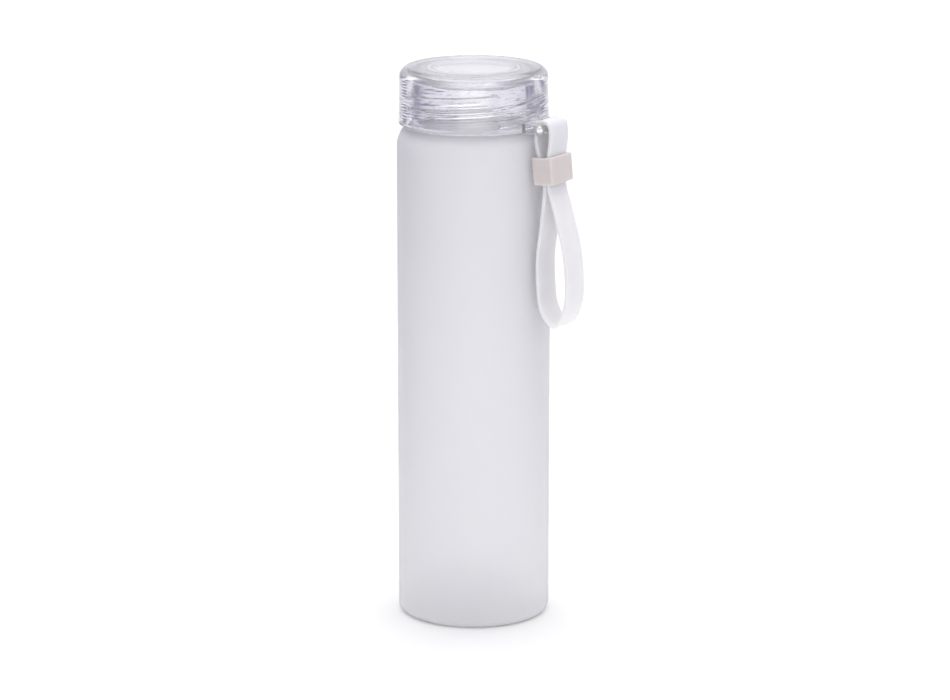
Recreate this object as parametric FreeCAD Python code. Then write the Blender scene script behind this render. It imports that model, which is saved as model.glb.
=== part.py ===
import FreeCAD, Part
import math
import os
from FreeCAD import Vector

# A glass water bottle with a clear screw cap and a silicone carry strap.
# Millimetres, +Z up. The origin is the centre of the face that the bottle stands on,
# and +X points at the eyelet on the cap, so the strap hangs in the XZ plane.

# Overall size
BODY_DIAMETER = 60.0
TOTAL_HEIGHT = 219.5

# Glass body
GLASS_WALL = 2.2
HEEL_RADIUS = 3.0
FOOT_INNER_RADIUS = 23.5
PUNT_DEPTH = 1.6
FLOOR_THICKNESS = 5.0
SHOULDER_RADIUS = 11.0
SHOULDER_BEND_Z = 192.8
SHOULDER_TOP_Z = 198.6

# Glass neck
NECK_OUTER_RADIUS = 24.3
MOUTH_RADIUS = 21.6
RIM_Z = 215.1
LIP_ROUNDING = 1.2

# Two-start thread: each ridge climbs one lead per turn, and the two are half a lead apart
THREAD_LEAD = 10.0
THREAD_STARTS = 2
RIDGE_ROOT_WIDTH = 1.5
RIDGE_CREST_WIDTH = 0.6
RIDGE_SUNK = 0.4
NECK_RIDGE_CREST_RADIUS = 25.8
NECK_RIDGE_START_Z = 200.7
NECK_RIDGE_TURNS = 1.08
NECK_RIDGE_START_ANGLE = -64.0
CAP_RIDGE_CREST_RADIUS = 24.8
CAP_RIDGE_START_Z = 200.1
CAP_RIDGE_TURNS = 0.95
RIDGE_DROP = 1.4

# Cap
CAP_RIM_Z = 197.4
CAP_RIM_RADIUS = 29.4
CAP_SHOULDER_RADIUS = 28.95
CAP_TOP_ROUNDING = 4.0
CAP_INNER_RADIUS = 26.4
CAP_MOUTH_CHAMFER = 0.5
CAP_PLATE_Z = 217.7
CAP_RIB_INNER_RADIUS = 16.4
CAP_RIB_OUTER_RADIUS = 18.6
CAP_RIB_DEPTH = 1.7

# Eyelet moulded on the cap
BAR_X = 35.4
BAR_Z = 199.2
BAR_RADIUS = 1.8
EYELET_INSIDE_WIDTH = 13.3
EYELET_LEG_THICKNESS = 2.4

# Sealing ring
SEAL_INNER_RADIUS = 18.8
SEAL_OUTER_RADIUS = 26.1
SEAL_GAP = 0.05

# Strap: a flat silicone strip, its ends joined into one loop
STRAP_WIDTH = 12.5
STRAP_THICKNESS = 1.5
# The middle line of the strip, as (x, z): over the bar, down the outer side, round the
# bottom of the hand loop, and up the inner side
STRAP_ROUTE = [
    (35.4, 202.0), (37.75, 200.9), (38.65, 198.3), (38.7, 194.7), (38.25, 191.0),
    (37.75, 187.0), (37.55, 182.0), (37.85, 177.5), (38.75, 173.5), (40.15, 169.5),
    (42.1, 162.7), (44.4, 154.7), (46.0, 145.0), (46.35, 136.0), (45.0, 127.6),
    (40.6, 122.0), (35.7, 126.2), (33.5, 135.6), (33.1, 146.9), (34.7, 159.7),
    (35.8, 169.5), (36.2, 177.5), (35.4, 182.0), (34.2, 187.0), (32.9, 191.0),
    (32.2, 194.7), (32.3, 198.3), (33.2, 200.9),
]
ROUTE_STEPS = 240

# Slider that holds the two strands of the strap together
SLIDER_X = 36.2
SLIDER_Z = 182.9
SLIDER_LEAN = 5.3
SLIDER_RADIAL = 8.7
SLIDER_WIDTH = 15.5
SLIDER_HEIGHT = 10.7
SLIDER_SLOT_RADIAL = 6.2
SLIDER_SLOT_WIDTH = 12.8
SLIDER_EDGE_ROUNDING = 0.5

Z_AXIS = Vector(0, 0, 1)
OVERSIZE = 60.0


def rounded_outline(corners):
    """Closed wire in the XZ plane through corners given as (x, z, rounding radius)."""
    points = [Vector(x, 0, z) for x, z, _ in corners]
    edges = []
    starts, ends = [], []
    for i, (_, _, radius) in enumerate(corners):
        before, here, after = points[i - 1], points[i], points[(i + 1) % len(points)]
        to_before = (before - here).normalize()
        to_after = (after - here).normalize()
        half = to_before.getAngle(to_after) / 2
        reach = radius / math.tan(half) if radius else 0.0
        first, last = here + to_before * reach, here + to_after * reach
        starts.append(first)
        ends.append(last)
        if radius:
            bisector = (to_before + to_after).normalize()
            centre = here + bisector * (radius / math.sin(half))
            middle = centre - bisector * radius
            edges.append((i, Part.Arc(first, middle, last).toShape()))
    lines = []
    for i, start in enumerate(ends):
        finish = starts[(i + 1) % len(starts)]
        if (finish - start).Length > 1e-6:
            lines.append((i + 0.5, Part.LineSegment(start, finish).toShape()))
    ordered = [edge for _, edge in sorted(edges + lines, key=lambda item: item[0])]
    return Part.Wire(ordered)


def revolved(corners):
    """Solid of revolution about Z from a rounded outline in the XZ plane."""
    face = Part.Face(rounded_outline(corners))
    return face.revolve(Vector(0, 0, 0), Z_AXIS, 360)


def helical_ridge(root_radius, crest_radius, start_z, turns, start_angle):
    """One thread ridge of trapezoid section, its root sunk a little into the wall it stands on."""
    height = crest_radius - root_radius
    sunk_radius = root_radius - math.copysign(RIDGE_SUNK, height)
    flare = (RIDGE_ROOT_WIDTH - RIDGE_CREST_WIDTH) / 2 / abs(height)
    root = RIDGE_ROOT_WIDTH / 2 + flare * RIDGE_SUNK
    crest = RIDGE_CREST_WIDTH / 2
    section = Part.makePolygon(
        [
            Vector(sunk_radius, 0, -root),
            Vector(crest_radius, 0, -crest),
            Vector(crest_radius, 0, crest),
            Vector(sunk_radius, 0, root),
            Vector(sunk_radius, 0, -root),
        ]
    )
    helix = Part.makeHelix(THREAD_LEAD, THREAD_LEAD * turns, root_radius)
    ridge = Part.Wire(helix.Edges).makePipeShell([section], True, True)
    ridge.rotate(Vector(0, 0, 0), Z_AXIS, start_angle)
    ridge.translate(Vector(0, 0, start_z))
    return ridge


def thread_ridges(root_radius, crest_radius, start_z, turns, start_angle):
    """All the starts of a thread, evenly spaced round the axis."""
    step = 360.0 / THREAD_STARTS
    return [
        helical_ridge(root_radius, crest_radius, start_z, turns, start_angle + step * i)
        for i in range(THREAD_STARTS)
    ]


def make_glass_bottle():
    """Body, shoulder and neck in one wall of glass, with the thread outside the neck."""
    outer = BODY_DIAMETER / 2
    inner = outer - GLASS_WALL
    wall = revolved(
        [
            (0, PUNT_DEPTH, 0),
            (FOOT_INNER_RADIUS - 4.0, PUNT_DEPTH * 0.6, 6.0),
            (FOOT_INNER_RADIUS, 0, 1.0),
            (outer, 0, HEEL_RADIUS),
            (outer, SHOULDER_BEND_Z, SHOULDER_RADIUS),
            (NECK_OUTER_RADIUS, SHOULDER_TOP_Z, 1.2),
            (NECK_OUTER_RADIUS, RIM_Z, LIP_ROUNDING),
            (MOUTH_RADIUS, RIM_Z, LIP_ROUNDING),
            (MOUTH_RADIUS, SHOULDER_TOP_Z - 0.6, 2.5),
            (inner, SHOULDER_BEND_Z - 1.4, SHOULDER_RADIUS - GLASS_WALL),
            (inner, FLOOR_THICKNESS, 5.0),
            (0, FLOOR_THICKNESS + 0.8, 0),
        ]
    )
    ridges = thread_ridges(
        NECK_OUTER_RADIUS,
        NECK_RIDGE_CREST_RADIUS,
        NECK_RIDGE_START_Z,
        NECK_RIDGE_TURNS,
        NECK_RIDGE_START_ANGLE,
    )
    return wall.fuse(ridges)


def make_eyelet():
    """Two legs out from the cap's wall and a round bar across their ends."""
    half = EYELET_INSIDE_WIDTH / 2
    outer = half + EYELET_LEG_THICKNESS
    bar = Part.makeCylinder(BAR_RADIUS, 2 * outer, Vector(BAR_X, -outer, BAR_Z), Vector(0, 1, 0))
    solids = [bar]
    root_x = CAP_INNER_RADIUS - 1.0
    for low in (-outer, half):
        corner = Vector(root_x, low, BAR_Z - BAR_RADIUS)
        solids.append(Part.makeBox(BAR_X - root_x, EYELET_LEG_THICKNESS, 2 * BAR_RADIUS, corner))
    eyelet = solids[0].fuse(solids[1:])
    inside = Part.makeCylinder(
        (CAP_INNER_RADIUS + CAP_SHOULDER_RADIUS) / 2, OVERSIZE, Vector(0, 0, CAP_RIM_Z - OVERSIZE / 2)
    )
    return eyelet.cut(inside)


def make_screw_cap():
    """Clear cap: top plate, skirt with the thread inside, seal-locating rib and strap eyelet."""
    shell = revolved(
        [
            (0, TOTAL_HEIGHT, 0),
            (CAP_SHOULDER_RADIUS, TOTAL_HEIGHT, CAP_TOP_ROUNDING),
            (CAP_RIM_RADIUS, CAP_RIM_Z, 0.5),
            (CAP_INNER_RADIUS + CAP_MOUTH_CHAMFER, CAP_RIM_Z, 0.3),
            (CAP_INNER_RADIUS, CAP_RIM_Z + 1.2, 0.3),
            (CAP_INNER_RADIUS, CAP_PLATE_Z, 0.8),
            (CAP_RIB_OUTER_RADIUS, CAP_PLATE_Z, 0),
            (CAP_RIB_OUTER_RADIUS, CAP_PLATE_Z - CAP_RIB_DEPTH, 0.5),
            (CAP_RIB_INNER_RADIUS, CAP_PLATE_Z - CAP_RIB_DEPTH, 0.5),
            (CAP_RIB_INNER_RADIUS, CAP_PLATE_Z, 0.5),
            (0, CAP_PLATE_Z, 0),
        ]
    )
    # The cap's ridges run just under the neck's, on the same climb
    climb = CAP_RIDGE_START_Z + RIDGE_DROP - NECK_RIDGE_START_Z
    start_angle = NECK_RIDGE_START_ANGLE + 360.0 * climb / THREAD_LEAD
    ridges = thread_ridges(
        CAP_INNER_RADIUS,
        CAP_RIDGE_CREST_RADIUS,
        CAP_RIDGE_START_Z,
        CAP_RIDGE_TURNS,
        start_angle,
    )
    return shell.fuse([make_eyelet()] + ridges)


def make_cap_seal():
    """Flat silicone ring between the glass rim and the cap's plate."""
    low, high = RIM_Z + SEAL_GAP, CAP_PLATE_Z - SEAL_GAP
    return revolved(
        [
            (SEAL_INNER_RADIUS, low, 0.4),
            (SEAL_OUTER_RADIUS, low, 0.4),
            (SEAL_OUTER_RADIUS, high, 0.8),
            (SEAL_INNER_RADIUS, high, 0.4),
        ]
    )


def closed_spline(points):
    """Smooth closed curve through the points."""
    curve = Part.BSplineCurve()
    curve.interpolate(Points=points, PeriodicFlag=True)
    return curve


def make_carry_strap():
    """The strip, as the band between two closed curves half a thickness to each side of its middle."""
    middle = closed_spline([Vector(x, 0, z) for x, z in STRAP_ROUTE])
    first, last = middle.FirstParameter, middle.LastParameter
    sides = {1: [], -1: []}
    for i in range(ROUTE_STEPS):
        at = first + (last - first) * i / ROUTE_STEPS
        along = middle.tangent(at)[0]
        across = Vector(along.z, 0, -along.x)
        for side, points in sides.items():
            points.append(middle.value(at) + across * (side * STRAP_THICKNESS / 2))
    wires = [Part.Wire(closed_spline(points).toShape()) for points in sides.values()]
    wires.sort(key=lambda wire: -wire.BoundBox.DiagonalLength)
    band = Part.Face(wires[0]).cut(Part.Face(wires[1]))
    strip = band.Faces[0].extrude(Vector(0, STRAP_WIDTH, 0))
    strip.translate(Vector(0, -STRAP_WIDTH / 2, 0))
    return strip


def make_strap_slider():
    """Short rectangular sleeve round both strands, leaning with the strap."""
    corner = Vector(-SLIDER_RADIAL / 2, -SLIDER_WIDTH / 2, -SLIDER_HEIGHT / 2)
    sleeve = Part.makeBox(SLIDER_RADIAL, SLIDER_WIDTH, SLIDER_HEIGHT, corner)
    sleeve = sleeve.makeFillet(SLIDER_EDGE_ROUNDING, sleeve.Edges)
    slot = Part.makeBox(
        SLIDER_SLOT_RADIAL,
        SLIDER_SLOT_WIDTH,
        OVERSIZE,
        Vector(-SLIDER_SLOT_RADIAL / 2, -SLIDER_SLOT_WIDTH / 2, -OVERSIZE / 2),
    )
    sleeve = sleeve.cut(slot)
    sleeve.rotate(Vector(0, 0, 0), Vector(0, 1, 0), -SLIDER_LEAN)
    sleeve.translate(Vector(SLIDER_X, 0, SLIDER_Z))
    return sleeve


def single_solid(shape):
    """The one solid of a shape, with seams left by joining cleaned away."""
    cleaned = shape.removeSplitter()
    if len(cleaned.Solids) != 1:
        raise ValueError("expected one solid, found %d" % len(cleaned.Solids))
    return cleaned.Solids[0]


def main():
    os.makedirs("parts", exist_ok=True)
    pieces = {
        "glass_bottle": make_glass_bottle(),
        "screw_cap": make_screw_cap(),
        "cap_seal": make_cap_seal(),
        "carry_strap": make_carry_strap(),
        "strap_slider": make_strap_slider(),
    }
    for name, shape in pieces.items():
        single_solid(shape).exportStep("parts/%s.step" % name)


main()
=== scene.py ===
"""Frosted glass water bottle with a clear screw cap, a silicone carry strap and its slider.

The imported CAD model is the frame. The glass, the cap and the seal keep their CAD shapes and get
their finishes here. The two silicone pieces are modelled here, in the places of their CAD solids.
Everything is in metres, in the frame of the CAD: the origin is the centre of the standing face,
+Z is up, and the strap hangs in the XZ plane on the +X side.
"""

import logging
import math
from dataclasses import dataclass
from enum import Enum
from typing import Sequence

import bmesh
import bpy
import numpy as np
from mathutils import Matrix, Vector

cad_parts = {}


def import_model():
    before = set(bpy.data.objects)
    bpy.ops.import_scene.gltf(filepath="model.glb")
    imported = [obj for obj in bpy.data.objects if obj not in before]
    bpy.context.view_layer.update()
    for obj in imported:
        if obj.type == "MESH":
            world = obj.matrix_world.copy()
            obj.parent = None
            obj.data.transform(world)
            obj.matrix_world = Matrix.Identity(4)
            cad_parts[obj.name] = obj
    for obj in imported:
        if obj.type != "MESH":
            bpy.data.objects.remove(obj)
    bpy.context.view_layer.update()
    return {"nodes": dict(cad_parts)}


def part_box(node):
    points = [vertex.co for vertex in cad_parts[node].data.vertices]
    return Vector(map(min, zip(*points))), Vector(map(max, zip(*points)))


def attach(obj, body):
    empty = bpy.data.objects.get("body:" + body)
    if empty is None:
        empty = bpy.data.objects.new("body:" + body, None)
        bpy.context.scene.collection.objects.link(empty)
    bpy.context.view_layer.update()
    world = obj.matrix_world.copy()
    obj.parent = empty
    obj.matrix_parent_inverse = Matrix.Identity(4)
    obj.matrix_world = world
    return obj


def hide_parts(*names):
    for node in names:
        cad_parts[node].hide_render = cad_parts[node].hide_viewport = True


LOG = logging.getLogger("bottle")

# The clear cap sends light round inside its walls many times before it leaves.
CLEAR_BOUNCES = 200
GLOSSY_BOUNCES = 64
DIFFUSE_BOUNCES = 48

# A colour Mix node's sockets for its two colours and for the result.
MIX_FIRST, MIX_SECOND, MIX_RESULT = 6, 7, 2

# How many fine steps a curve is measured in for each place that is returned.
FINE_STEPS = 12

Colour = tuple[float, float, float]
Point2 = tuple[float, float]


class Body(Enum):
    """The bodies of the frame that the made pieces ride on."""

    SEAL = "seal"
    STRAP = "strap"
    SLIDER = "slider"


class Slot(Enum):
    """Names of the record's material slots for the made pieces; nothing here reads them, and each
    piece gets its finish in stand_in.
    """

    SEAL = "seal_silicone"
    STRAP = "strap_silicone"
    SLIDER = "slider_silicone"


class Node(Enum):
    """The CAD nodes of the frame."""

    GLASS = "glass_bottle"
    CAP = "screw_cap"
    SEAL = "cap_seal"
    STRAP = "carry_strap"
    SLIDER = "strap_slider"


# ---------------------------------------------------------------------------------------------
# Node trees
# ---------------------------------------------------------------------------------------------


class Recipe:
    """A small helper that lays out one material's node tree."""

    def __init__(self, name: str) -> None:
        """Starts a material with an output and a Principled shader.

        Args:
            name: The material's name.
        """
        self.material = bpy.data.materials.new(name)
        self.material.use_nodes = True
        self.tree = self.material.node_tree
        self.tree.nodes.clear()
        output = self.tree.nodes.new("ShaderNodeOutputMaterial")
        self.shader = self.tree.nodes.new("ShaderNodeBsdfPrincipled")
        self.tree.links.new(self.shader.outputs["BSDF"], output.inputs["Surface"])
        self.output = output
        coordinates = self.tree.nodes.new("ShaderNodeTexCoord")
        self.place = coordinates.outputs["Object"]

    def set(self, **values: float | Sequence[float]) -> None:
        """Sets plain values on the shader's sockets.

        Args:
            values: Socket names with underscores for spaces, and their values.
        """
        for name, value in values.items():
            self.shader.inputs[name.replace("_", " ")].default_value = value

    def link(self, source: bpy.types.NodeSocket, socket: str) -> None:
        """Feeds a shader socket from a node.

        Args:
            source: The output socket to read.
            socket: The name of the shader's input.
        """
        self.tree.links.new(source, self.shader.inputs[socket])

    def math(self, operation: str, *terms: object, clamp: bool = False) -> bpy.types.NodeSocket:
        """Adds a Math node.

        Args:
            operation: The Math node's operation.
            terms: Its inputs, each a socket or a number.
            clamp: Whether the result is held between 0 and 1.

        Returns:
            The node's output socket.
        """
        node = self.tree.nodes.new("ShaderNodeMath")
        node.operation = operation
        node.use_clamp = clamp
        for socket, term in zip(node.inputs, terms):
            self._put(socket, term)
        return node.outputs[0]

    def spread(
        self, value: object, low: float, high: float, start: float, end: float
    ) -> bpy.types.NodeSocket:
        """Maps a value from one range to another, smoothly and clamped.

        Args:
            value: The socket to map.
            low: The value that gives start.
            high: The value that gives end.
            start: The result at low.
            end: The result at high.

        Returns:
            The mapped value's socket.
        """
        node = self.tree.nodes.new("ShaderNodeMapRange")
        node.interpolation_type = "SMOOTHSTEP"
        for socket, term in zip(node.inputs, (value, low, high, start, end)):
            self._put(socket, term)
        return node.outputs[0]

    def radius(self) -> bpy.types.NodeSocket:
        """Returns the distance from the bottle's axis."""
        x, y, _ = self.parts(self.place)
        return self.math("SQRT", self.math("MULTIPLY_ADD", x, x, self.math("MULTIPLY", y, y)))

    def parts(self, vector: bpy.types.NodeSocket) -> list[bpy.types.NodeSocket]:
        """Splits a vector.

        Args:
            vector: The vector's socket.

        Returns:
            The sockets of its X, Y and Z.
        """
        node = self.tree.nodes.new("ShaderNodeSeparateXYZ")
        self.tree.links.new(vector, node.inputs[0])
        return list(node.outputs)

    def noise(
        self, scale: float, detail: float = 2.0, stretch: Sequence[float] = (1, 1, 1)
    ) -> bpy.types.NodeSocket:
        """Adds a noise texture in object space.

        Args:
            scale: Features per metre.
            detail: The number of octaves.
            stretch: How much denser the noise is along X, Y and Z.

        Returns:
            The noise's value, from 0 to 1.
        """
        mapping = self.tree.nodes.new("ShaderNodeMapping")
        mapping.inputs["Scale"].default_value = stretch
        self.tree.links.new(self.place, mapping.inputs["Vector"])
        node = self.tree.nodes.new("ShaderNodeTexNoise")
        node.inputs["Scale"].default_value = scale
        node.inputs["Detail"].default_value = detail
        self.tree.links.new(mapping.outputs[0], node.inputs["Vector"])
        return node.outputs["Fac"]

    def mix(self, share: object, first: object, second: object) -> bpy.types.NodeSocket:
        """Mixes two colours.

        Args:
            share: How much of the second, a socket or a number.
            first: The first colour, a socket or three numbers.
            second: The second colour, a socket or three numbers.

        Returns:
            The mixed colour's socket.
        """
        node = self.tree.nodes.new("ShaderNodeMix")
        node.data_type = "RGBA"
        self._put(node.inputs["Factor"], share)
        self._put(node.inputs[MIX_FIRST], first)
        self._put(node.inputs[MIX_SECOND], second)
        return node.outputs[MIX_RESULT]

    def absorb(self, colour: Colour, density: float) -> None:
        """Makes the inside of the piece darken light with distance.

        Args:
            colour: What a thick piece tends to look like.
            density: How fast, per metre.
        """
        node = self.tree.nodes.new("ShaderNodeVolumeAbsorption")
        node.inputs["Color"].default_value = (*colour, 1)
        node.inputs["Density"].default_value = density
        self.tree.links.new(node.outputs[0], self.output.inputs["Volume"])

    def relief(self, height: bpy.types.NodeSocket, depth: float, strength: float = 1.0) -> None:
        """Feeds the shader's normal from a height.

        Args:
            height: The height's socket, from 0 to 1.
            depth: The height of 1 in metres.
            strength: How much of it shows.
        """
        node = self.tree.nodes.new("ShaderNodeBump")
        node.inputs["Strength"].default_value = strength
        node.inputs["Distance"].default_value = depth
        self.tree.links.new(height, node.inputs["Height"])
        self.link(node.outputs[0], "Normal")

    def _put(self, socket: bpy.types.NodeSocket, term: object) -> None:
        """Links or sets one input.

        Args:
            socket: The input.
            term: A socket, a number or a colour.
        """
        if isinstance(term, bpy.types.NodeSocket):
            self.tree.links.new(term, socket)
        elif isinstance(term, (tuple, list)):
            socket.default_value = (*term, 1.0)[:4]
        else:
            socket.default_value = term


# ---------------------------------------------------------------------------------------------
# Finishes
# ---------------------------------------------------------------------------------------------


@dataclass(frozen=True)
class FrostedGlass:
    """Soda glass, etched matt on the outside up to the neck and left clear inside and above it."""

    name: str = "frosted_soda_glass"
    frosted: Colour = (0.985, 0.98, 0.995)
    clear: Colour = (0.955, 0.95, 0.965)
    depth_colour: Colour = (0.72, 0.72, 0.77)
    depth_density: float = 4.0
    ior: float = 1.5
    frost_roughness: float = 0.55
    unevenness: float = 0.06
    frost_ends: float = 0.1980
    frost_fade: float = 0.0010
    frost_passes: float = 0.44
    foot_height: float = 0.0034
    body_radius: float = 0.030
    shoulder_start: float = 0.1928
    shoulder_slope: tuple[float, float] = (0.713, 0.701)
    skin: float = 0.0015
    skin_edge: tuple[float, float] = (1.1, 0.95)
    foot_fade: float = 1.1
    cloud_per_metre: float = 60.0
    cloud_range: tuple[float, float] = (0.3, 0.7)
    thinnest_frost: float = 0.96
    grain_per_metre: float = 5200.0
    grain_range: tuple[float, float] = (0.2, 0.8)
    grain_depth: float = 0.00003

    def outside(self, recipe: Recipe, height: bpy.types.NodeSocket) -> bpy.types.NodeSocket:
        """Finds the outer skin of the body, shoulder and foot.

        Args:
            recipe: The node tree.
            height: The height above the floor.

        Returns:
            1 on the outer skin and 0 on the inner.
        """
        radius = recipe.radius()
        past_wall = recipe.math("SUBTRACT", radius, self.body_radius)
        across, up = self.shoulder_slope
        rise = recipe.math("MULTIPLY", recipe.math("SUBTRACT", height, self.shoulder_start), up)
        past_shoulder = recipe.math("MULTIPLY_ADD", past_wall, across, rise)
        past = recipe.math("MAXIMUM", past_wall, past_shoulder)
        inner, outer = self.skin_edge
        skin = recipe.spread(past, -self.skin * inner, -self.skin * outer, 0.0, 1.0)
        foot_ends = self.foot_height * self.foot_fade
        foot = recipe.spread(height, self.foot_height, foot_ends, 1.0, 0.0)
        return recipe.math("MAXIMUM", skin, foot)

    def material(self) -> bpy.types.Material:
        """Returns the material."""
        recipe = Recipe(self.name)
        height = recipe.parts(recipe.place)[2]
        below = recipe.spread(height, self.frost_ends - self.frost_fade, self.frost_ends, 1.0, 0.0)
        frost = recipe.math("MULTIPLY", below, self.outside(recipe, height))
        cloud = recipe.noise(self.cloud_per_metre, 3.0)
        grain = recipe.noise(self.grain_per_metre, 2.0)
        tone = recipe.spread(cloud, *self.cloud_range, self.thinnest_frost, 1.0)
        etched = recipe.math("MULTIPLY", frost, tone)
        recipe.link(recipe.mix(below, self.clear, self.frosted), "Base Color")
        least = self.frost_roughness - self.unevenness
        most = self.frost_roughness + self.unevenness
        matt = recipe.spread(grain, *self.grain_range, least, most)
        recipe.link(recipe.math("MULTIPLY", frost, matt), "Roughness")
        recipe.link(recipe.spread(etched, 0.0, 1.0, 1.0, self.frost_passes), "Transmission Weight")
        recipe.relief(recipe.math("MULTIPLY", grain, frost), self.grain_depth)
        recipe.set(IOR=self.ior)
        recipe.absorb(self.depth_colour, self.depth_density)
        return recipe.material


@dataclass(frozen=True)
class ClearPlastic:
    """Thick clear styrene, with the faint marks of its thread core and an unpolished rim."""

    name: str = "clear_styrene"
    colour: Colour = (0.96, 0.955, 0.97)
    depth_colour: Colour = (0.66, 0.65, 0.76)
    depth_density: float = 2.0
    ior: float = 1.56
    roughness: float = 0.01
    rim_height: float = 0.1979
    rim_roughness: float = 0.38
    rim_fade: float = 0.0001
    waves_per_metre: float = 140.0
    wave_stretch: tuple[float, float, float] = (1, 1, 2.4)
    wave_depth: float = 0.000008
    smears_per_metre: float = 900.0
    smear_range: tuple[float, float] = (0.3, 0.75)
    smear_dulls: float = 2.4
    thread_lead: float = 0.010
    lines_per_lead: int = 9
    line_depth: float = 0.00004
    patches_per_metre: float = 260.0
    patch_stretch: tuple[float, float, float] = (0.5, 0.5, 2.0)
    patch_range: tuple[float, float] = (0.35, 0.65)
    faintest_line: float = 0.25
    core_radius: float = 0.0270
    core_radius_fade: float = 1.01
    core_top: float = 0.2150
    core_top_fade: float = 1.001

    def core_lines(self, recipe: Recipe) -> bpy.types.NodeSocket:
        """Draws the fine lines that run with the thread on the inside of the skirt.

        Args:
            recipe: The node tree.

        Returns:
            The lines' height, from 0 to 1, and 0.5 off the inside of the skirt.
        """
        x, y, z = recipe.parts(recipe.place)
        turn = recipe.math("DIVIDE", recipe.math("ARCTAN2", y, x), 2 * math.pi)
        climb = recipe.math("SUBTRACT", recipe.math("DIVIDE", z, self.thread_lead), turn)
        rate = 2 * math.pi * self.lines_per_lead
        wave = recipe.math("SINE", recipe.math("MULTIPLY", climb, rate))
        outer = self.core_radius * self.core_radius_fade
        inside = recipe.spread(recipe.radius(), self.core_radius, outer, 1.0, 0.0)
        below = recipe.spread(z, self.core_top, self.core_top * self.core_top_fade, 1.0, 0.0)
        worn = recipe.noise(self.patches_per_metre, 2.0, self.patch_stretch)
        patches = recipe.spread(worn, *self.patch_range, self.faintest_line, 1.0)
        share = recipe.math("MULTIPLY", recipe.math("MULTIPLY", inside, below), patches)
        return recipe.math("MULTIPLY_ADD", recipe.math("MULTIPLY", wave, 0.5), share, 0.5)

    def material(self) -> bpy.types.Material:
        """Returns the material."""
        recipe = Recipe(self.name)
        height = recipe.parts(recipe.place)[2]
        flow = recipe.noise(self.waves_per_metre, 2.0, self.wave_stretch)
        fine = recipe.noise(self.smears_per_metre, 2.0)
        dullest = self.roughness * self.smear_dulls
        polish = recipe.spread(fine, *self.smear_range, self.roughness, dullest)
        below_rim = self.rim_height - self.rim_fade
        rim = recipe.spread(height, below_rim, self.rim_height, self.rim_roughness, 0.0)
        recipe.link(recipe.math("MAXIMUM", polish, rim), "Roughness")
        marks = recipe.math("MULTIPLY", flow, self.wave_depth / self.line_depth)
        recipe.relief(recipe.math("ADD", self.core_lines(recipe), marks), self.line_depth)
        recipe.set(Base_Color=(*self.colour, 1), IOR=self.ior, Transmission_Weight=1.0)
        recipe.absorb(self.depth_colour, self.depth_density)
        return recipe.material


@dataclass(frozen=True)
class Silicone:
    """Matt moulded silicone rubber, a little see-through, with a fine grain."""

    name: str
    colour: Colour
    shade: Colour
    roughness: float = 0.5
    depth_of_light: float = 0.003
    light_within: float = 1.0
    clear: float = 0.0
    ior: float = 1.41
    light_reach: Colour = (1.0, 0.85, 0.8)
    cloud_per_metre: float = 110.0
    cloud_range: tuple[float, float] = (0.3, 0.72)
    grain_per_metre: float = 2600.0
    grain_range: tuple[float, float] = (0.25, 0.75)
    grain_dulls: tuple[float, float] = (0.84, 1.2)
    grain_depth: float = 0.000035

    def recipe(self) -> Recipe:
        """Returns the node tree, for a piece to add its own marks."""
        recipe = Recipe(self.name)
        cloud = recipe.noise(self.cloud_per_metre, 3.0)
        grain = recipe.noise(self.grain_per_metre, 3.0)
        tone = recipe.spread(cloud, *self.cloud_range, 0.0, 1.0)
        recipe.link(recipe.mix(tone, self.colour, self.shade), "Base Color")
        least, most = (self.roughness * share for share in self.grain_dulls)
        recipe.link(recipe.spread(grain, *self.grain_range, least, most), "Roughness")
        recipe.relief(grain, self.grain_depth)
        recipe.shader.subsurface_method = "RANDOM_WALK"
        recipe.set(
            IOR=self.ior,
            Subsurface_Weight=self.light_within,
            Subsurface_Scale=self.depth_of_light,
            Subsurface_Radius=self.light_reach,
            Transmission_Weight=self.clear,
        )
        return recipe

    def material(self) -> bpy.types.Material:
        """Returns the material."""
        return self.recipe().material


# ---------------------------------------------------------------------------------------------
# Shapes
# ---------------------------------------------------------------------------------------------


def closed_curve(points: Sequence[Point2], samples: int) -> tuple[np.ndarray, np.ndarray]:
    """Smooth closed cubic spline through points in a plane.

    Args:
        points: The points that it passes through.
        samples: How many places along it are returned.

    Returns:
        The places, evenly spaced along the curve, and the unit directions there.
    """
    knots = np.asarray(points, float)
    count = len(knots)
    chord = np.linalg.norm(np.roll(knots, -1, axis=0) - knots, axis=1)
    slope = (np.roll(knots, -1, axis=0) - knots) / chord[:, None]
    system = np.zeros((count, count))
    right = 6 * (slope - np.roll(slope, 1, axis=0))
    for i in range(count):
        system[i, i - 1] += chord[i - 1]
        system[i, i] += 2 * (chord[i - 1] + chord[i])
        system[i, (i + 1) % count] += chord[i]
    bend = np.linalg.solve(system, right)

    starts = np.concatenate([[0.0], np.cumsum(chord)])

    def at(t: np.ndarray) -> np.ndarray:
        """The curve's places at parameters t."""
        i = np.clip(np.searchsorted(starts, t, side="right") - 1, 0, count - 1)
        j = (i + 1) % count
        h = chord[i][:, None]
        a = (starts[i + 1] - t)[:, None] / h
        b = 1 - a
        curved = ((a**3 - a) * bend[i] + (b**3 - b) * bend[j]) * h**2 / 6
        return a * knots[i] + b * knots[j] + curved

    fine = np.linspace(0.0, starts[-1], samples * FINE_STEPS + 1)
    places = at(fine)
    travelled = np.concatenate([[0.0], np.cumsum(np.linalg.norm(np.diff(places, axis=0), axis=1))])
    even = np.interp(np.arange(samples) * travelled[-1] / samples, travelled, fine)
    found = at(even)
    along = np.roll(found, -1, axis=0) - np.roll(found, 1, axis=0)
    return found, along / np.linalg.norm(along, axis=1)[:, None]


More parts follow.
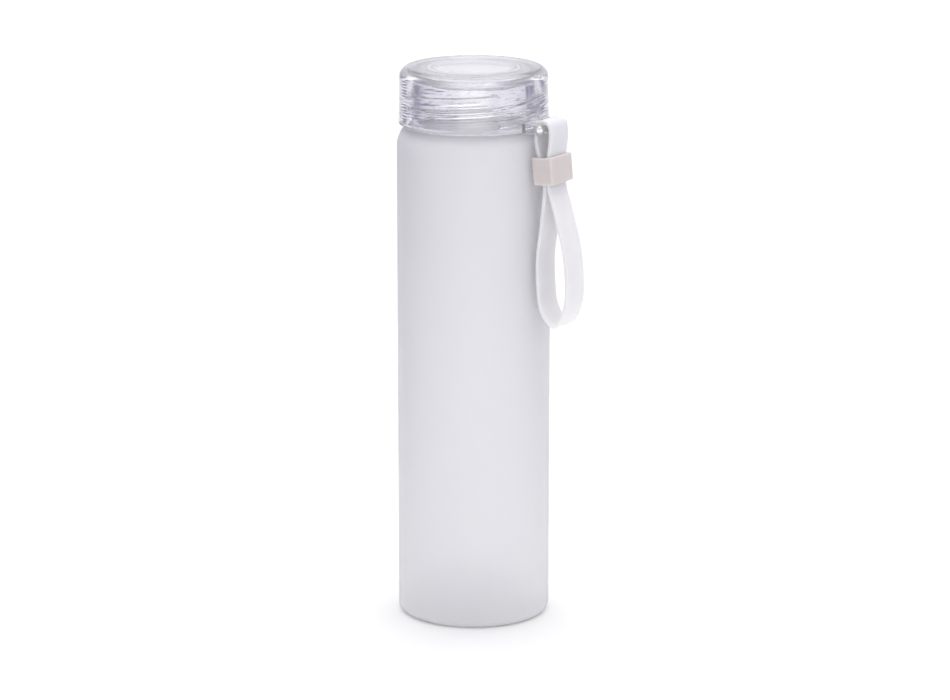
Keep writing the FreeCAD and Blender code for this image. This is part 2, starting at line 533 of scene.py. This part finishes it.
def rounded_section(
    half_x: float, half_y: float, radius: float, steps: int, spans: Sequence[int]
) -> list[Point2]:
    """Outline of a rectangle with rounded corners, with points along its sides too.

    Args:
        half_x: Half its size in the first direction.
        half_y: Half its size in the second direction.
        radius: The corners' radius.
        steps: The number of spans in each corner.
        spans: The number of spans along the sides that face the first direction, and the second.

    Returns:
        The points, anticlockwise.
    """
    outline: list[Point2] = []
    corners = [(1, -1, -90), (1, 1, 0), (-1, 1, 90), (-1, -1, 180)]
    for i, (sx, sy, start) in enumerate(corners):
        centre = (sx * (half_x - radius), sy * (half_y - radius))
        for step in range(steps + 1):
            turn = math.radians(start + 90 * step / steps)
            x = centre[0] + radius * math.cos(turn)
            y = centre[1] + radius * math.sin(turn)
            outline.append((x, y))
        last = outline[-1]
        nx, ny, following = corners[(i + 1) % 4]
        turn = math.radians(following)
        first = (
            nx * (half_x - radius) + radius * math.cos(turn),
            ny * (half_y - radius) + radius * math.sin(turn),
        )
        count = spans[0] if i in (0, 2) else spans[1]
        for k in range(1, count):
            share = 0.5 - 0.5 * math.cos(math.pi * k / count)
            outline.append(tuple(a + (b - a) * share for a, b in zip(last, first)))
    return outline


def ring_mesh(name: str, rings: Sequence[Sequence[Vector]]) -> bpy.types.Object:
    """Closed surface through rings of points, joined round and end to end.

    Args:
        name: The object's name.
        rings: The rings, each with the same number of points.

    Returns:
        The object, smooth and with its faces turned outwards.
    """
    mesh = bpy.data.meshes.new(name)
    shape = bmesh.new()
    rows = [[shape.verts.new(point) for point in ring] for ring in rings]
    for i, row in enumerate(rows):
        after = rows[(i + 1) % len(rows)]
        for k in range(len(row)):
            n = (k + 1) % len(row)
            shape.faces.new((row[k], row[n], after[n], after[k]))
    bmesh.ops.recalc_face_normals(shape, faces=shape.faces)
    for face in shape.faces:
        face.smooth = True
    shape.to_mesh(mesh)
    shape.free()
    made = bpy.data.objects.new(name, mesh)
    bpy.context.scene.collection.objects.link(made)
    return made


# ---------------------------------------------------------------------------------------------
# Sub-assemblies
# ---------------------------------------------------------------------------------------------


@dataclass
class GlassBottle:
    """The glass body, which keeps its CAD shape."""

    finish: FrostedGlass = FrostedGlass()

    def dress(self, nodes: dict[str, bpy.types.Object]) -> bpy.types.Object:
        """Gives the glass its finish.

        Args:
            nodes: The frame's CAD nodes.

        Returns:
            The glass.
        """
        return put_material(nodes[Node.GLASS.value], self.finish.material())


@dataclass
class ScrewCap:
    """The clear cap with its eyelet, in its CAD shape."""

    finish: ClearPlastic = ClearPlastic()

    def dress(self, nodes: dict[str, bpy.types.Object]) -> bpy.types.Object:
        """Gives the cap its finish.

        Args:
            nodes: The frame's CAD nodes.

        Returns:
            The cap.
        """
        return put_material(nodes[Node.CAP.value], self.finish.material())


@dataclass
class CapSeal:
    """The flat silicone ring, pressed to the cap's plate so that no air shows between them."""

    inner_radius: float = 0.0188
    outer_radius: float = 0.0261
    pressed_in: float = 0.00007
    edge_rounding: float = 0.0004
    steps_round: int = 180
    steps_corner: int = 4
    spans: tuple[int, int] = (3, 6)
    finish: Silicone = Silicone(
        "seal_rubber",
        (0.985, 0.985, 0.99),
        (0.975, 0.975, 0.985),
        roughness=0.16,
        light_within=0.0,
        clear=0.92,
    )

    def build(self) -> bpy.types.Object:
        """Returns the ring, between the heights of its CAD solid."""
        low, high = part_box(Node.SEAL.value)
        top = high.z + self.pressed_in
        middle = ((self.inner_radius + self.outer_radius) / 2, (low.z + top) / 2)
        half_across, half_up = (self.outer_radius - self.inner_radius) / 2, (top - low.z) / 2
        section = rounded_section(
            half_across, half_up, self.edge_rounding, self.steps_corner, self.spans
        )
        rings = []
        for step in range(self.steps_round):
            turn = 2 * math.pi * step / self.steps_round
            cos, sin = math.cos(turn), math.sin(turn)
            reach = [(middle[0] + out, middle[1] + up) for out, up in section]
            rings.append([Vector((out * cos, out * sin, up)) for out, up in reach])
        return ring_mesh("silicone_seal", rings)

    def dress(self, seal: bpy.types.Object) -> bpy.types.Object:
        """Gives the seal its finish and its place on the frame.

        Args:
            seal: The ring.

        Returns:
            The ring.
        """
        return stand_in(seal, self.finish, Body.SEAL, Node.SEAL)


@dataclass
class CarryStrap:
    """A flat silicone strip joined into one loop, through the eyelet and the slider."""

    width: float = 0.0125
    thickness: float = 0.0015
    edge_rounding: float = 0.0004
    steps_along: int = 320
    steps_corner: int = 4
    spans: tuple[int, int] = (2, 10)
    finish: Silicone = Silicone("strap_rubber", (0.84, 0.835, 0.835), (0.815, 0.805, 0.81))
    route: tuple[Point2, ...] = (
        (0.0354, 0.2020), (0.03775, 0.2009), (0.03865, 0.1983), (0.0387, 0.1947),
        (0.03825, 0.1910), (0.03775, 0.1870), (0.03755, 0.1820), (0.03785, 0.1775),
        (0.03875, 0.1735), (0.04015, 0.1695), (0.0421, 0.1627), (0.0444, 0.1547),
        (0.0460, 0.1450), (0.04635, 0.1360), (0.0450, 0.1276), (0.0406, 0.1220),
        (0.0357, 0.1262), (0.0335, 0.1356), (0.0331, 0.1469), (0.0347, 0.1597),
        (0.0358, 0.1695), (0.0362, 0.1775), (0.0354, 0.1820), (0.0342, 0.1870),
        (0.0329, 0.1910), (0.0322, 0.1947), (0.0323, 0.1983), (0.0332, 0.2009),
    )

    def build(self) -> bpy.types.Object:
        """Returns the strip, swept along its route."""
        places, along = closed_curve(self.route, self.steps_along)
        half_across, half_up = self.width / 2, self.thickness / 2
        section = rounded_section(
            half_across, half_up, self.edge_rounding, self.steps_corner, self.spans
        )
        rings = []
        for (x, z), (dx, dz) in zip(places, along):
            rings.append([Vector((x + dz * rise, side, z - dx * rise)) for side, rise in section])
        return ring_mesh("silicone_strap", rings)

    def dress(self, strap: bpy.types.Object) -> bpy.types.Object:
        """Gives the strap its finish and its place on the frame.

        Args:
            strap: The strip.

        Returns:
            The strip.
        """
        return stand_in(strap, self.finish, Body.STRAP, Node.STRAP)


@dataclass
class StrapSlider:
    """The short sleeve that holds the two runs of the strap together."""

    centre: tuple[float, float, float] = (0.0362, 0.0, 0.1829)
    lean: float = math.radians(5.3)
    radial: float = 0.0087
    width: float = 0.0155
    height: float = 0.0107
    slot_radial: float = 0.0062
    slot_width: float = 0.0128
    corner_rounding: float = 0.0006
    slot_rounding: float = 0.00036
    lip_rounding: float = 0.00045
    steps_lip: int = 4
    spans_up: int = 8
    steps_corner: int = 5
    spans: tuple[int, int] = (10, 8)
    finish: Silicone = Silicone(
        "slider_rubber",
        (0.75, 0.70, 0.675),
        (0.72, 0.665, 0.64),
        roughness=0.42,
        depth_of_light=0.0015,
    )

    def wall_profile(self) -> list[Point2]:
        """Returns the wall's section, as (share of the way out from slot to outside, height)."""
        wall = (self.radial - self.slot_radial) / 2
        lip = self.lip_rounding
        top = self.height / 2
        profile: list[Point2] = []
        corners = [(1, -1, -90), (1, 1, 0), (0, 1, 90), (0, -1, 180)]
        for i, (outside, up, start) in enumerate(corners):
            middle = wall - lip if outside else lip
            for step in range(self.steps_lip + 1):
                turn = math.radians(start + 90 * step / self.steps_lip)
                out = middle + lip * math.cos(turn)
                profile.append((out / wall, up * (top - lip) + lip * math.sin(turn)))
            if i in (0, 2):
                share, low = profile[-1]
                for k in range(1, self.spans_up):
                    profile.append((share, low - 2 * low * k / self.spans_up))
        return profile

    def build(self) -> bpy.types.Object:
        """Returns the sleeve, leaning with the strap."""
        wall_x = (self.radial - self.slot_radial) / 2
        wall_y = (self.width - self.slot_width) / 2
        slot_x, slot_y = self.slot_radial / 2, self.slot_width / 2
        more_round = self.corner_rounding - self.slot_rounding
        place = Matrix.Translation(self.centre) @ Matrix.Rotation(-self.lean, 4, "Y")
        rings = []
        for out, height in self.wall_profile():
            rounding = self.slot_rounding + more_round * out
            half_x, half_y = slot_x + wall_x * out, slot_y + wall_y * out
            outline = rounded_section(half_x, half_y, rounding, self.steps_corner, self.spans)
            rings.append([place @ Vector((x, y, height)) for x, y in outline])
        return ring_mesh("silicone_slider", rings)

    def dress(self, slider: bpy.types.Object) -> bpy.types.Object:
        """Gives the slider its finish and its place on the frame.

        Args:
            slider: The sleeve.

        Returns:
            The sleeve.
        """
        return stand_in(slider, self.finish, Body.SLIDER, Node.SLIDER)


def put_material(piece: bpy.types.Object, material: bpy.types.Material) -> bpy.types.Object:
    """Puts one material on the whole of a piece.

    Args:
        piece: The piece.
        material: The material.

    Returns:
        The piece.
    """
    if piece.material_slots:
        for place in piece.material_slots:
            place.material = material
    else:
        piece.data.materials.append(material)
    return piece


def stand_in(
    piece: bpy.types.Object, finish: Silicone, body: Body, node: Node
) -> bpy.types.Object:
    """Gives a made piece its finish and puts it in the place of a CAD solid.

    Args:
        piece: The piece.
        finish: Its finish.
        body: The body that it moves with.
        node: The CAD solid that it stands for.

    Returns:
        The piece.
    """
    put_material(piece, finish.material())
    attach(piece, body.value)
    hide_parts(node.value)
    return piece


# ---------------------------------------------------------------------------------------------
# Studio
# ---------------------------------------------------------------------------------------------


@dataclass(frozen=True)
class Lamp:
    """A soft, distant lamp, with its source given from the camera's side as (right, back, up)."""

    name: str
    source: tuple[float, float, float]
    strength: float
    softness: float


@dataclass
class Studio:
    """Pale floor, soft light and the camera."""

    azimuth: float = math.radians(33.0)
    distance: float = 1.400
    eye_height: float = 0.462
    pitch: float = math.radians(14.27)
    yaw_trim: float = math.radians(0.0207)
    lens: float = 138.6
    sensor: float = 36.0
    clip: tuple[float, float] = (0.05, 50.0)
    floor_half: tuple[float, float] = (0.38, 12.0)
    floor_colour: Colour = (0.89, 0.89, 0.872)
    floor_roughness: float = 0.9
    floor_gloss: float = 0.1
    air: tuple[tuple[float, Colour], ...] = (
        (0.0, (0.90, 0.90, 0.93)),
        (0.15, (0.84, 0.84, 0.88)),
        (0.50, (0.70, 0.70, 0.76)),
        (1.0, (0.80, 0.80, 0.84)),
    )
    wings: Colour = (0.27, 0.26, 0.35)
    wings_start: float = 0.30
    wings_full: float = 0.56
    wings_top: float = 0.12
    sky: tuple[Lamp, ...] = (
        Lamp("ceiling_soft", (0.0, 0.3, 1.0), 1.62, math.radians(75.0)),
        Lamp("right_soft", (0.9, -0.6, 0.45), 0.32, math.radians(70.0)),
        Lamp("left_soft", (-0.9, -0.6, 0.45), 0.07, math.radians(70.0)),
    )

    def turned(self, right: float, back: float, up: float) -> tuple[float, float, float]:
        """A point given from the camera's side of the object.

        Args:
            right: Metres to the camera's right of the object.
            back: Metres behind the object.
            up: Metres above the floor.

        Returns:
            The point in the frame.
        """
        cos, sin = math.cos(self.azimuth), math.sin(self.azimuth)
        return (right * cos - back * sin, right * sin + back * cos, up)

    def build_camera(self) -> bpy.types.Object:
        """Returns the camera, which becomes the scene's."""
        data = bpy.data.cameras.new("camera")
        data.lens, data.sensor_width = self.lens, self.sensor
        data.clip_start, data.clip_end = self.clip
        made = bpy.data.objects.new("camera", data)
        made.location = self.turned(0.0, -self.distance, self.eye_height)
        made.rotation_euler = (math.pi / 2 - self.pitch, 0.0, self.azimuth - self.yaw_trim)
        bpy.context.scene.collection.objects.link(made)
        bpy.context.scene.camera = made
        return made

    def build_floor(self) -> bpy.types.Object:
        """Returns the floor."""
        mesh = bpy.data.meshes.new("studio_floor")
        across, back = self.floor_half
        signs = ((-1, -1), (1, -1), (1, 1), (-1, 1))
        corners = [self.turned(x * across, y * back, 0.0) for x, y in signs]
        mesh.from_pydata(corners, [], [(0, 1, 2, 3)])
        floor = bpy.data.objects.new("studio_floor", mesh)
        bpy.context.scene.collection.objects.link(floor)
        recipe = Recipe("studio_paper")
        recipe.set(
            Base_Color=(*self.floor_colour, 1),
            Roughness=self.floor_roughness,
            Specular_IOR_Level=self.floor_gloss,
        )
        put_material(floor, recipe.material)
        return floor

    def build_air(self) -> None:
        """Lights the room from all round, darker low down at the sides.

        What is seen past the object is plain white.
        """
        world = bpy.data.worlds.new("studio_air")
        world.use_nodes = True
        tree = world.node_tree
        background = next(n for n in tree.nodes if n.type == "BACKGROUND")
        way = tree.nodes.new("ShaderNodeTexCoord").outputs["Generated"]
        split = tree.nodes.new("ShaderNodeSeparateXYZ")
        tree.links.new(way, split.inputs[0])
        height = split.outputs["Z"]

        ramp = tree.nodes.new("ShaderNodeValToRGB")
        ramp.color_ramp.interpolation = "EASE"
        stops = ramp.color_ramp.elements
        while len(stops) < len(self.air):
            stops.new(1.0)
        for stop, (place, colour) in zip(stops, self.air):
            stop.position, stop.color = place, (*colour, 1)
        tree.links.new(height, ramp.inputs[0])

        sideways = self.sideways(tree, way)
        aside = self.fade(tree, sideways, (self.wings_start, self.wings_full, 0.0, 1.0))
        low = self.fade(tree, height, (0.0, self.wings_top, 1.0, 0.0))
        both = tree.nodes.new("ShaderNodeMath")
        both.operation = "MULTIPLY"
        tree.links.new(aside, both.inputs[0])
        tree.links.new(low, both.inputs[1])
        winged = self.blend(tree, both.outputs[0], ramp.outputs[0], self.wings)
        seen = tree.nodes.new("ShaderNodeLightPath").outputs["Is Camera Ray"]
        tree.links.new(self.blend(tree, seen, winged, (1, 1, 1)), background.inputs["Color"])
        bpy.context.scene.world = world

    def sideways(self, tree: bpy.types.NodeTree, way: bpy.types.NodeSocket) -> bpy.types.NodeSocket:
        """Measures how far a direction points to either side of the object.

        Args:
            tree: The world's node tree.
            way: The direction.

        Returns:
            0 straight behind or in front, and 1 straight to a side.
        """
        across = tree.nodes.new("ShaderNodeVectorMath")
        across.operation = "DOT_PRODUCT"
        across.inputs[1].default_value = self.turned(1.0, 0.0, 0.0)
        tree.links.new(way, across.inputs[0])
        size = tree.nodes.new("ShaderNodeMath")
        size.operation = "ABSOLUTE"
        tree.links.new(across.outputs["Value"], size.inputs[0])
        return size.outputs[0]

    @staticmethod
    def fade(
        tree: bpy.types.NodeTree, value: bpy.types.NodeSocket, limits: Sequence[float]
    ) -> bpy.types.NodeSocket:
        """Maps a value smoothly from one range to another.

        Args:
            tree: The world's node tree.
            value: The value.
            limits: From where and to where it is read, and what it then gives.

        Returns:
            The mapped value.
        """
        node = tree.nodes.new("ShaderNodeMapRange")
        node.interpolation_type = "SMOOTHSTEP"
        tree.links.new(value, node.inputs[0])
        for socket, limit in zip(node.inputs[1:5], limits):
            socket.default_value = limit
        return node.outputs[0]

    @staticmethod
    def blend(
        tree: bpy.types.NodeTree,
        share: bpy.types.NodeSocket,
        first: bpy.types.NodeSocket,
        second: Colour,
    ) -> bpy.types.NodeSocket:
        """Mixes a plain colour into another.

        Args:
            tree: The world's node tree.
            share: How much of the plain colour.
            first: The other colour.
            second: The plain colour.

        Returns:
            The mixed colour.
        """
        node = tree.nodes.new("ShaderNodeMix")
        node.data_type = "RGBA"
        node.inputs[MIX_SECOND].default_value = (*second, 1)
        tree.links.new(share, node.inputs["Factor"])
        tree.links.new(first, node.inputs[MIX_FIRST])
        return node.outputs[MIX_RESULT]

    def build_lights(self) -> list[bpy.types.Object]:
        """Returns the soft lamps."""
        lamps = []
        for plan in self.sky:
            light = bpy.data.lights.new(plan.name, "SUN")
            light.energy, light.angle = plan.strength, plan.softness
            made = bpy.data.objects.new(plan.name, light)
            made.rotation_mode = "QUATERNION"
            made.rotation_quaternion = (-Vector(self.turned(*plan.source))).to_track_quat("-Z", "Y")
            bpy.context.scene.collection.objects.link(made)
            lamps.append(made)
        return lamps


def let_light_travel(settings: bpy.types.PropertyGroup) -> None:
    """Lets light bounce often enough to find its way out of the clear pieces.

    Args:
        settings: The scene's light settings.
    """
    settings.max_bounces = CLEAR_BOUNCES
    settings.transmission_bounces = CLEAR_BOUNCES
    settings.glossy_bounces = GLOSSY_BOUNCES
    settings.diffuse_bounces = DIFFUSE_BOUNCES


def main() -> None:
    """Builds the studio and dresses the object around the frame."""
    logging.basicConfig(level=logging.INFO, format="%(message)s")
    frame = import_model()
    bpy.context.scene.view_settings.view_transform = "Standard"
    let_light_travel(bpy.context.scene.cycles)

    studio = Studio()
    studio.build_camera()
    studio.build_floor()
    studio.build_air()
    studio.build_lights()

    nodes = frame["nodes"]
    for piece in (GlassBottle().dress(nodes), ScrewCap().dress(nodes)):
        LOG.info("dressed %s", piece.name)
    for plan in (CapSeal(), CarryStrap(), StrapSlider()):
        piece = plan.dress(plan.build())
        LOG.info("built %s, %d faces", piece.name, len(piece.data.polygons))


if __name__ == "__main__":
    main()
